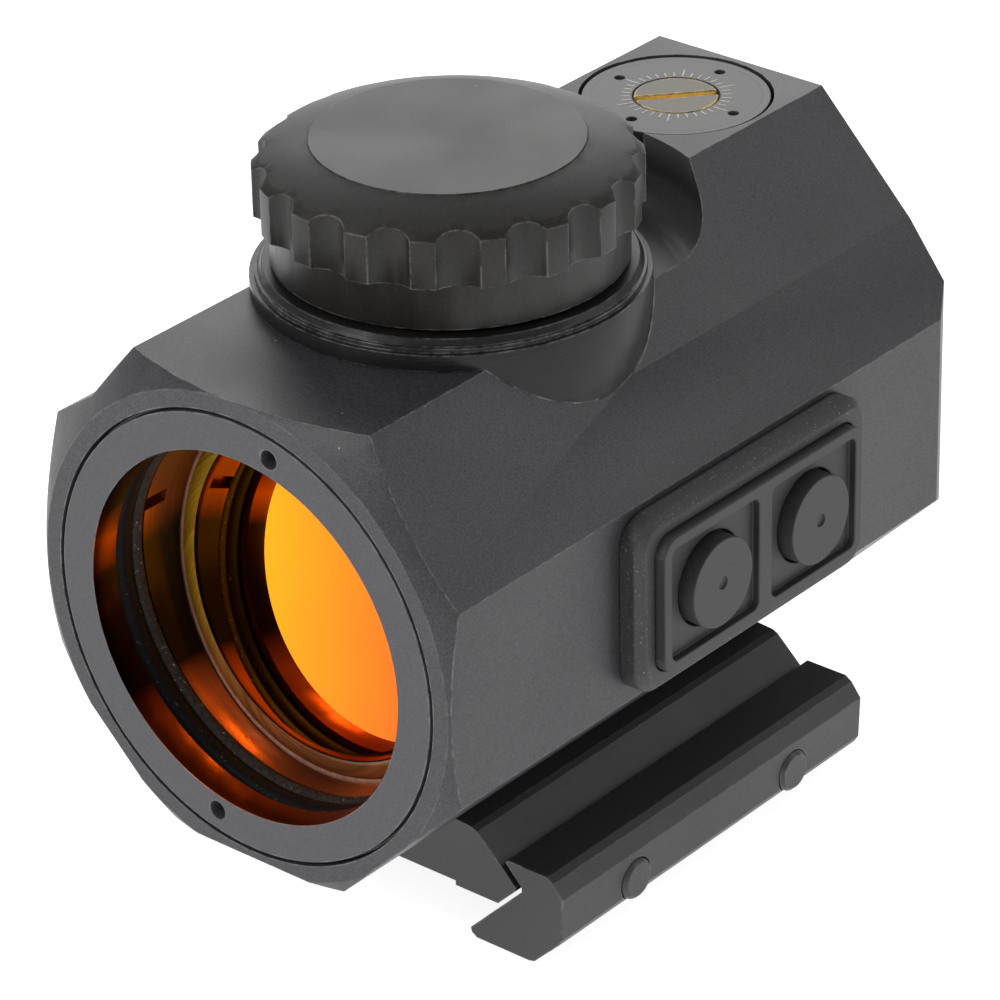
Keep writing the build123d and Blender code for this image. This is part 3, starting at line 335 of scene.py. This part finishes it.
def adjuster_brass(name, axis_place, face, inward):
    """Brass screw: the head's face is tarnished, while its slot and its edge stay bright."""
    material, tree, shader = new_material(name)
    point = object_point(tree)
    parts = tree.nodes.new("ShaderNodeSeparateXYZ")
    tree.links.new(point, parts.inputs[0])
    from_face = calculate(tree, "SUBTRACT", parts.outputs[axis_place], face)
    depth = calculate(tree, "MULTIPLY", from_face, inward)
    sunk = remap(tree, depth, 0.04 * MM, 0.12 * MM, 0.0, 1.0)
    # The edge part of this mask is wear and painted edge highlight.
    bright = calculate(tree, "MAXIMUM", sunk, edge_wear_and_glint(tree, point, 0.25 * MM))
    fine = noise(tree, point, 3500.0, 3.0, 0.6)
    stained = ramp(tree, fine, 0.3, 0.7, (0.05, 0.042, 0.03), (0.095, 0.082, 0.058))
    gold = ramp(tree, fine, 0.3, 0.7, (0.9, 0.62, 0.12), (1.0, 0.8, 0.3))
    tree.links.new(blend_colours(tree, bright, stained, gold), shader.inputs["Base Color"])
    tree.links.new(remap(tree, fine, 0.3, 0.7, 0.3, 0.44), shader.inputs["Roughness"])
    tree.links.new(bump(tree, fine, 0.4, 6e-6), shader.inputs["Normal"])
    shader.inputs["Metallic"].default_value = 0.55
    return material


# Bore wall colours: near-black painted shade, also the dark of the tool marks; dim and bright painted
# reflected orange glow.
WALL_SHADE_AND_MARKS = (0.012, 0.004, 0.003)
WALL_DIM_GLOW = (0.3, 0.075, 0.02)
WALL_BRIGHT_GLOW = (1.0, 0.24, 0.05)


# Painted glow and painted shade on the front ring's bore wall, by height over the axis.
RING_WALL_LIGHT_STOPS = (
    (-14, WALL_DIM_GLOW),
    (-11.5, WALL_DIM_GLOW),
    (-9, WALL_SHADE_AND_MARKS),
    (0, WALL_SHADE_AND_MARKS),
    (3, WALL_DIM_GLOW),
    (6, WALL_SHADE_AND_MARKS),
)
# Painted glow and painted shade on the spacer wall, by height over the axis.
SPACER_LIGHT_STOPS = (
    (-15.2, WALL_DIM_GLOW),
    (-14.2, WALL_BRIGHT_GLOW),
    (-11.5, WALL_BRIGHT_GLOW),
    (-9, WALL_SHADE_AND_MARKS),
    (0.5, WALL_SHADE_AND_MARKS),
    (3, WALL_DIM_GLOW),
    (10, WALL_DIM_GLOW),
    (13, WALL_SHADE_AND_MARKS),
)
# Lens band: gold colour with painted shade by height, brightest just under the axis, darker and browner
# towards the bottom and top.
BAND_COLOUR_AND_SHADE_STOPS = (
    (-14, (0.3, 0.1, 0.03)),
    (-9, (0.42, 0.17, 0.03)),
    (-3, (0.75, 0.38, 0.02)),
    (3, (0.62, 0.36, 0.015)),
    (9, (0.4, 0.28, 0.02)),
)
STOP_REACH = 16


def painted_light_by_height(tree, point, stops):
    """Painted light and painted shade on a wall, by height: near-black painted shade, and painted reflected
    glow from dark brown to warm copper.
    The stops are heights over the optical axis, in millimetres."""
    parts = tree.nodes.new("ShaderNodeSeparateXYZ")
    tree.links.new(point, parts.inputs[0])
    lowest = OPTICAL_Z - STOP_REACH * MM
    highest = OPTICAL_Z + STOP_REACH * MM
    height = remap(tree, parts.outputs[2], lowest, highest, 0.0, 1.0)
    node = tree.nodes.new("ShaderNodeValToRGB")
    elements = node.color_ramp.elements
    while len(elements) < len(stops):
        elements.new(0.5)
    for element, (z, colour) in zip(elements, stops):
        element.position = (z + STOP_REACH) / (2 * STOP_REACH)
        element.color = (*colour, 1.0)
    tree.links.new(height, node.inputs["Fac"])
    return node.outputs["Color"]


def ring_metal(name, outside):
    """Front ring: blasted face outside, smooth turned wall inside the aperture, coloured there with painted
    glow and painted shade by height.
    """
    material, tree, shader = new_material(name)
    point = object_point(tree)
    radius = axis_radius(tree, point, 0, 0.0, 2, OPTICAL_Z)
    inside = remap(tree, radius, APERTURE_RADIUS + 0.02 * MM, APERTURE_RADIUS + 0.06 * MM, 1.0, 0.0)
    fine = noise(tree, point, 9000.0, 2.0, 0.6)
    tone = ramp(tree, fine, 0.32, 0.72, *outside)
    # Edges lightened by wear and by a painted edge highlight.
    wear_and_glint = calculate(tree, "MULTIPLY", edge_wear_and_glint(tree, point), WEAR_AND_GLINT_SHARE)
    tone = blend_colours(tree, wear_and_glint, tone, WEAR_AND_GLINT_TONE)
    tone = blend_colours(tree, dust(tree, point), tone, DUST_TONE)
    # Inside the aperture: painted glow and painted shade by height.
    tone = blend_colours(tree, inside, tone, painted_light_by_height(tree, point, RING_WALL_LIGHT_STOPS))
    tree.links.new(tone, shader.inputs["Base Color"])
    tree.links.new(inside, shader.inputs["Metallic"])
    tree.links.new(remap(tree, inside, 0.0, 1.0, 0.44, 0.3), shader.inputs["Roughness"])
    tree.links.new(bump(tree, fine, 0.45, 10e-6), shader.inputs["Normal"])
    return material


def turned_wall(name, roughness, metallic, stops):
    """Smooth wall with circular tool marks, coloured by height with painted light and painted shade."""
    material, tree, shader = new_material(name)
    point = object_point(tree)
    marks = turned_height(tree, point, 1, 14000.0)
    darkened = remap(tree, marks, 0.35, 0.65, 0.0, 0.45)
    # Painted light and shade by height, darkened along the tool marks.
    tone = blend_colours(tree, darkened, painted_light_by_height(tree, point, stops), WALL_SHADE_AND_MARKS)
    tree.links.new(tone, shader.inputs["Base Color"])
    uneven = remap(tree, marks, 0.3, 0.7, roughness - 0.05, roughness + 0.05)
    tree.links.new(uneven, shader.inputs["Roughness"])
    tree.links.new(bump(tree, marks, 0.5, 6e-6), shader.inputs["Normal"])
    shader.inputs["Metallic"].default_value = metallic
    return material


def mirror_coating(name, near, far, roughness):
    """Reflecting coating whose orange turns redder towards the keypad side."""
    material, tree, shader = new_material(name)
    point = object_point(tree)
    parts = tree.nodes.new("ShaderNodeSeparateXYZ")
    tree.links.new(point, parts.inputs[0])
    place = remap(tree, parts.outputs[0], -7 * MM, 9 * MM, 0.0, 1.0)
    broad = noise(tree, point, 120.0, 2.0, 0.5)
    place = calculate(tree, "ADD", place, remap(tree, broad, 0.3, 0.7, -0.05, 0.05))
    tree.links.new(ramp(tree, place, 0.0, 1.0, near, far), shader.inputs["Base Color"])
    shader.inputs["Metallic"].default_value = 1.0
    shader.inputs["Roughness"].default_value = roughness
    return material


def clear_glass(name, tint):
    """Coated clear glass with a faint tint."""
    material, tree, shader = new_material(name)
    point = object_point(tree)
    fine = noise(tree, point, 400.0, 2.0, 0.5)
    darker = tuple(0.94 * c for c in tint)
    tree.links.new(ramp(tree, fine, 0.4, 0.6, darker, tint), shader.inputs["Base Color"])
    shader.inputs["Roughness"].default_value = 0.03
    shader.inputs["Transmission Weight"].default_value = 0.85
    shader.inputs["IOR"].default_value = 1.5
    return material


def board_mask(name):
    """Green solder mask over a fine weave."""
    material, tree, shader = new_material(name)
    point = object_point(tree)
    weave = tree.nodes.new("ShaderNodeTexWave")
    weave.inputs["Scale"].default_value = 260.0
    weave.inputs["Distortion"].default_value = 2.0
    tree.links.new(point, weave.inputs["Vector"])
    mask = ramp(tree, weave.outputs["Fac"], 0.45, 0.6, (0.012, 0.1, 0.04), (0.03, 0.18, 0.08))
    tree.links.new(mask, shader.inputs["Base Color"])
    shader.inputs["Roughness"].default_value = 0.3
    return material


# ---- materials ----
body_metal = anodised("body_metal", (0.021, 0.0204, 0.0235), (0.061, 0.0592, 0.066), 0.43, 6800.0, 17e-6)
ring_face = ring_metal("ring_metal", ((0.044, 0.0428, 0.0495), (0.077, 0.075, 0.086)))
cap_metal = anodised("cap_metal", (0.005, 0.0042, 0.0038), (0.02, 0.0172, 0.0152), 0.42, 6000.0, 16e-6, 0.44)
mount_metal = anodised("mount_metal", (0.022, 0.0215, 0.024), (0.05, 0.049, 0.053), 0.4)
bolt_metal = anodised("bolt_metal", (0.03, 0.03, 0.032), (0.06, 0.06, 0.063), 0.38)
base_metal = turned("base_metal", (0.009, 0.0085, 0.009), (0.028, 0.0265, 0.0275), 2)
tube_metal = turned("tube_metal", (0.014, 0.014, 0.015), (0.035, 0.035, 0.036), 1, 0.45)
top_dial = dial_metal("top_dial", 0, dial_middle.x, 1, dial_middle.y)
side_dial = dial_metal("side_dial", 1, side_dial_middle.y, 2, side_dial_middle.z)
bezel_plastic = rubber("bezel_plastic", (0.026, 0.0255, 0.0275), (0.056, 0.055, 0.058), 5200.0, 22e-6, 0.45)
pad_rubber = rubber("pad_rubber", (0.028, 0.0275, 0.0295), (0.05, 0.049, 0.052), 7000.0, 12e-6, 0.12)
seal_rubber = rubber("seal_rubber", (0.002, 0.002, 0.0025), (0.009, 0.009, 0.0105), 3000.0, 30e-6, 0.12, 0.16)
lip_rubber = rubber("lip_rubber", (0.006, 0.006, 0.006), (0.05, 0.048, 0.045), 3600.0, 70e-6, 0.8, 0.3)
top_brass = adjuster_brass("top_brass", 2, TOP_SCREW_FACE, -1.0)
side_brass = adjuster_brass("side_brass", 0, SIDE_SCREW_FACE, 1.0)
spring_metal = plain_metal("spring_metal", (0.62, 0.61, 0.59), 0.28)
cell_metal = plain_metal("cell_metal", (0.72, 0.71, 0.69), 0.24)
gold_plate = plain_metal("gold_plate", (0.82, 0.6, 0.24), 0.22)
board_green = board_mask("board_green")
# Spacer wall: painted reflected glow and painted shade by height.
spacer_wall = turned_wall("spacer_wall", 0.24, 0.65, SPACER_LIGHT_STOPS)
lens_mirror = mirror_coating("lens_mirror", (1.0, 0.36, 0.01), (1.0, 0.14, 0.018), 0.015)
# Lens band: gold with painted shade by height.
lens_band = turned_wall("lens_band", 0.2, 0.15, BAND_COLOUR_AND_SHADE_STOPS)
lens_lip = rubber("lens_lip", (0.3, 0.13, 0.08), (0.55, 0.26, 0.17), 2500.0, 4e-6)
window_glass = clear_glass("window_glass", (0.82, 0.92, 0.93))
diode = rubber("diode", (0.3, 0.02, 0.02), (0.45, 0.04, 0.03), 3000.0, 4e-6)

SLOT_MATERIALS = {
    "body_anodised": body_metal,
    "cap_anodised": cap_metal,
    "mount_anodised": mount_metal,
    "turned_black": base_metal,
    "dial_black": top_dial,
    "bezel_black": bezel_plastic,
    "keypad_rubber": pad_rubber,
    "seal_rubber": seal_rubber,
    "coated_glass": lens_mirror,
    "clear_glass": window_glass,
    "spring_steel": spring_metal,
    "cell_steel": cell_metal,
    "contact_gold": gold_plate,
    "board_green": board_green,
    "screw_brass": top_brass,
    "screw_black": bolt_metal,
    "bolt_black": bolt_metal,
    "led_die": diode,
}
NODE_MATERIALS = {
    "front_locking_ring": ring_face,
    "lens_spacer": spacer_wall,
    "optic_tube": tube_metal,
    "turret_base": base_metal,
    "windage_dial": side_dial,
    "windage_screw": side_brass,
}
for name, node in NODES.items():
    slots = [m.name.split(".")[0] for m in node.data.materials if m]
    chosen = NODE_MATERIALS.get(name)
    for place, slot_name in enumerate(slots):
        node.data.materials[place] = chosen or SLOT_MATERIALS.get(slot_name, body_metal)
    if not slots:
        node.data.materials.append(chosen or body_metal)


# ---- finer edges on the CAD nodes ----
def soften(node, width, merge_angle=0.6, segments=3, angle=28.0):
    """Rounds a CAD node's own sharp edges with modifiers, without touching its mesh."""
    weld = node.modifiers.new("weld", "WELD")
    weld.merge_threshold = 1e-6
    flat = node.modifiers.new("flat", "DECIMATE")
    flat.decimate_type = "DISSOLVE"
    flat.angle_limit = math.radians(merge_angle)
    edge = node.modifiers.new("edge", "BEVEL")
    edge.width = width
    edge.segments = segments
    edge.limit_method = "ANGLE"
    edge.angle_limit = math.radians(angle)
    edge.harden_normals = True
    edge.use_clamp_overlap = True


SOFT_EDGES = {
    "housing": 0.15,
    "mount_base": 0.2,
    "clamp_bar": 0.25,
    "keypad_bezel": 0.12,
    "keypad_rubber": 0.16,
    "turret_base": 0.08,
    "battery_cap": 0.12,
    "front_locking_ring": 0.06,
    "rear_locking_ring": 0.1,
    "elevation_dial": 0.12,
    "windage_dial": 0.12,
    "elevation_screw": 0.12,
    "windage_screw": 0.12,
    "button_front": 0.35,
    "button_rear": 0.35,
    "cross_bolt_front": 0.1,
    "cross_bolt_rear": 0.1,
}
for name, width in SOFT_EDGES.items():
    soften(NODES[name], width * MM, 0.1 if name == "battery_cap" else 0.6)


# ---- detailed pieces ----
def finish_piece(name, mesh_builder, materials, body, stands_for=None):
    """Turns a bmesh into an object that rides on a CAD body and hides the CAD part it stands for."""
    mesh = bpy.data.meshes.new(name)
    mesh_builder.normal_update()
    mesh_builder.to_mesh(mesh)
    mesh_builder.free()
    for material in materials:
        mesh.materials.append(material)
    piece = bpy.data.objects.new(name, mesh)
    bpy.context.collection.objects.link(piece)
    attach(piece, body)
    if stands_for:
        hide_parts(stands_for)
    return piece


def revolved(profile, origin, axis, side, steps=240, zones=None, solid_core=False):
    """Solid from (along, radius) points turned about an axis; zones give a material per segment.
    A ring's profile closes on itself; a solid core is capped at both ends of the profile instead."""
    builder = bmesh.new()
    other = axis.cross(side)
    rings = []
    for step in range(steps):
        angle = 2 * math.pi * step / steps
        out = side * math.cos(angle) + other * math.sin(angle)
        rings.append([builder.verts.new(origin + axis * a + out * r) for a, r in profile])
    count = len(profile)
    for step in range(steps):
        here, there = rings[step], rings[(step + 1) % steps]
        for place in range(count - 1 if solid_core else count):
            after = (place + 1) % count
            face = builder.faces.new((here[place], there[place], there[after], here[after]))
            face.smooth = True
            if zones:
                face.material_index = zones[place]
    if solid_core:
        for end in (0, count - 1):
            builder.faces.new([ring[end] for ring in rings]).smooth = True
    bmesh.ops.recalc_face_normals(builder, faces=builder.faces)
    return builder


def lens_piece():
    """Front lens: curved reflecting face, a bevelled coloured band near the rim and a ground edge."""
    axis = Vector((0, math.cos(LENS_TILT), -math.sin(LENS_TILT)))
    origin = Vector((0, LENS_RIM_Y, OPTICAL_Z))
    front_curve = (LENS_RADIUS**2 + LENS_BULGE**2) / (2 * LENS_BULGE)
    rear_curve = (LENS_RADIUS**2 + LENS_HOLLOW**2) / (2 * LENS_HOLLOW)

    def front(r):
        return -LENS_BULGE + front_curve - math.sqrt(front_curve**2 - r**2)

    def rear(r):
        return LENS_EDGE - LENS_HOLLOW + rear_curve - math.sqrt(rear_curve**2 - r**2)

    smallest = 0.02 * MM
    radii = [smallest + (LENS_BAND_INNER - smallest) * k / 24 for k in range(25)]
    profile = [(front(r), r) for r in radii]
    zones = [0] * (len(profile) - 1)
    band = LENS_BAND_OUTER - LENS_BAND_INNER
    groove = 0.05 * MM
    rim_points = [
        (front(LENS_BAND_INNER) + groove, LENS_BAND_INNER + 0.04 * MM, 3),
        (front(LENS_BAND_INNER + 0.12 * MM) + groove, LENS_BAND_INNER + 0.14 * MM, 3),
        (front(LENS_BAND_INNER + 0.2 * MM), LENS_BAND_INNER + 0.2 * MM, 1),
        (front(LENS_BAND_INNER + 0.5 * band) + 0.05 * MM, LENS_BAND_INNER + 0.5 * band, 1),
        (front(LENS_BAND_OUTER) + 0.16 * MM, LENS_BAND_OUTER, 1),
        (front(LENS_BAND_OUTER) + 0.22 * MM, LENS_BAND_OUTER + 0.05 * MM, 3),
        (front(LENS_BAND_OUTER) + 0.18 * MM, LENS_BAND_OUTER + 0.12 * MM, 2),
        (0.2 * MM, LENS_RADIUS - 0.2 * MM, 2),
        (0.4 * MM, LENS_RADIUS, 2),
        (LENS_EDGE - 0.2 * MM, LENS_RADIUS, 2),
    ]
    for along, radius, zone in rim_points:
        profile.append((along, radius))
        zones.append(zone)
    back = [(rear(LENS_RADIUS - 0.2 * MM), LENS_RADIUS - 0.2 * MM)]
    back += [(rear(r), r) for r in [LENS_BAND_INNER * (1 - k / 12) + smallest for k in range(13)]]
    profile += back
    zones += [2] + [0] * len(back)
    builder = revolved(profile, origin, axis, Vector((1, 0, 0)), 256, zones, True)
    finishes = [lens_mirror, lens_band, lens_lip, seal_rubber]
    finish_piece("front_lens", builder, finishes, "housing", "objective_lens")


def seal_piece():
    """Rubber seal behind the front ring: a rounded bead, a step and a grainy rear lip."""
    depth = seal_high.y - seal_low.y
    outer = 16.25 * MM
    inner = 15.2 * MM
    profile = [
        (0.02 * MM, outer),
        (0.02 * MM, 15.75 * MM),
        (0.45 * MM, 15.7 * MM),
        (0.62 * MM, 15.55 * MM),
        (0.8 * MM, 15.34 * MM),
        (1.1 * MM, 15.24 * MM),
        (1.45 * MM, inner),
        (1.8 * MM, 15.24 * MM),
        (2.02 * MM, 15.36 * MM),
        (2.12 * MM, 15.46 * MM),
        (2.24 * MM, 15.42 * MM),
        (2.42 * MM, 15.28 * MM),
        (depth - 0.35 * MM, inner),
        (depth - 0.12 * MM, 15.22 * MM),
        (depth - 0.02 * MM, 15.34 * MM),
        (depth - 0.02 * MM, outer),
    ]
    origin = Vector((0, seal_low.y, OPTICAL_Z))
    zones = [0] * 10 + [1] * 5 + [0]
    builder = revolved(profile, origin, Vector((0, 1, 0)), Vector((1, 0, 0)), 220, zones)
    finish_piece("seal_bead", builder, [seal_rubber, lip_rubber], "housing", "front_seal_ring")


MARK_COUNT = 36
LONG_MARK_EVERY = 6
MARK_START = 3.62 * MM
MARK_END = 4.35 * MM
LONG_MARK_END = 4.95 * MM
MARK_HALF_WIDTH = 0.08 * MM
MARK_RISE = 0.025 * MM
MARK_ROOT = 0.03 * MM
MARK_DRAFT = 0.999
MARK_CROWN = 0.7


def light_marks(name, centre, axis, side):
    """Ring of raised, light index marks round an adjuster; every sixth one is longer."""
    builder = bmesh.new()
    other = axis.cross(side)
    for step in range(MARK_COUNT):
        angle = 2 * math.pi * step / MARK_COUNT
        out = side * math.cos(angle) + other * math.sin(angle)
        along = axis.cross(out)
        inner = MARK_START
        outer = LONG_MARK_END if step % LONG_MARK_EVERY == 0 else MARK_END
        half = MARK_HALF_WIDTH
        corners = [(inner, -half), (outer, -half * 0.8), (outer, half * 0.8), (inner, half)]
        root = centre - axis * MARK_ROOT
        top = centre + axis * MARK_RISE
        low = [builder.verts.new(root + out * r + along * w) for r, w in corners]
        high = [builder.verts.new(top + out * (r * MARK_DRAFT) + along * (w * MARK_CROWN)) for r, w in corners]
        builder.faces.new(high)
        builder.faces.new(low[::-1])
        for place in range(4):
            after = (place + 1) % 4
            builder.faces.new((low[place], low[after], high[after], high[place]))
    bmesh.ops.recalc_face_normals(builder, faces=builder.faces)
    finish_piece(name, builder, [mark_paint], "housing")


mark_paint = rubber("mark_paint", (0.5, 0.49, 0.47), (0.85, 0.83, 0.8), 2600.0, 10e-6)
lens_piece()
seal_piece()
light_marks(
    "elevation_marks",
    Vector((dial_middle.x, dial_middle.y, dial_high.z)),
    Vector((0, 0, 1)),
    Vector((1, 0, 0)),
)
light_marks(
    "windage_marks",
    Vector((side_dial_low.x, side_dial_middle.y, side_dial_middle.z)),
    Vector((-1, 0, 0)),
    Vector((0, 0, 1)),
)


# ---- studio ----
def stage_floor():
    """Plain pale floor under the object, lit softly from within like a light table."""
    half = 3.0
    mesh = bpy.data.meshes.new("floor")
    z = FLOOR_Z - 0.0002
    corners = [(-half, -half, z), (half, -half, z), (half, half, z), (-half, half, z)]
    mesh.from_pydata(corners, [], [(0, 1, 2, 3)])
    floor = bpy.data.objects.new("floor", mesh)
    bpy.context.collection.objects.link(floor)
    material, tree, shader = new_material("floor_white")
    shader.inputs["Base Color"].default_value = (0.75, 0.75, 0.75, 1)
    shader.inputs["Roughness"].default_value = 0.9
    shader.inputs["Emission Color"].default_value = (1, 1, 1, 1)
    shader.inputs["Emission Strength"].default_value = 0.85
    mesh.materials.append(material)


stage_floor()


def area_light(name, location, target, size, power, color=(1, 1, 1)):
    """Soft square light aimed at a point."""
    data = bpy.data.lights.new(name, "AREA")
    data.size = size
    data.energy = power
    data.color = color
    light = bpy.data.objects.new(name, data)
    light.location = location
    light.rotation_euler = (Vector(target) - Vector(location)).to_track_quat("-Z", "Y").to_euler()
    bpy.context.collection.objects.link(light)
    return light


AIM = (0.01161, -0.01667, 0.03326)
area_light("key", (-0.35, -0.25, 0.75), AIM, 0.45, 0.6)
area_light("back_left", (-0.42, 0.5, 0.4), AIM, 0.5, 1.75)
area_light("front", (-0.2, -0.7, 0.44), AIM, 0.2, 1.7)
area_light("back_right", (0.52, 0.42, 0.34), AIM, 0.4, 0.6)

world = bpy.data.worlds.new("studio")
world.use_nodes = True
world.node_tree.nodes["Background"].inputs["Color"].default_value = (1, 1, 1, 1)
world.node_tree.nodes["Background"].inputs["Strength"].default_value = 0.37
bpy.context.scene.world = world
bpy.context.scene.view_settings.view_transform = "Standard"

# ---- camera ----
AZIMUTH = math.radians(40.13)
ELEVATION = math.radians(28.51)
ROLL = math.radians(-1.21)
DISTANCE = 0.3812
FOCAL = 186.9

camera_data = bpy.data.cameras.new("camera")
camera_data.lens = FOCAL
camera_data.sensor_width = 36.0
camera = bpy.data.objects.new("camera", camera_data)
back = Vector(
    (
        math.sin(AZIMUTH) * math.cos(ELEVATION),
        -math.cos(AZIMUTH) * math.cos(ELEVATION),
        math.sin(ELEVATION),
    )
)
camera.location = Vector(AIM) + back * DISTANCE
turn = (-back).to_track_quat("-Z", "Y").to_matrix() @ Matrix.Rotation(ROLL, 3, "Z")
camera.rotation_euler = turn.to_euler()
bpy.context.collection.objects.link(camera)
bpy.context.scene.camera = camera
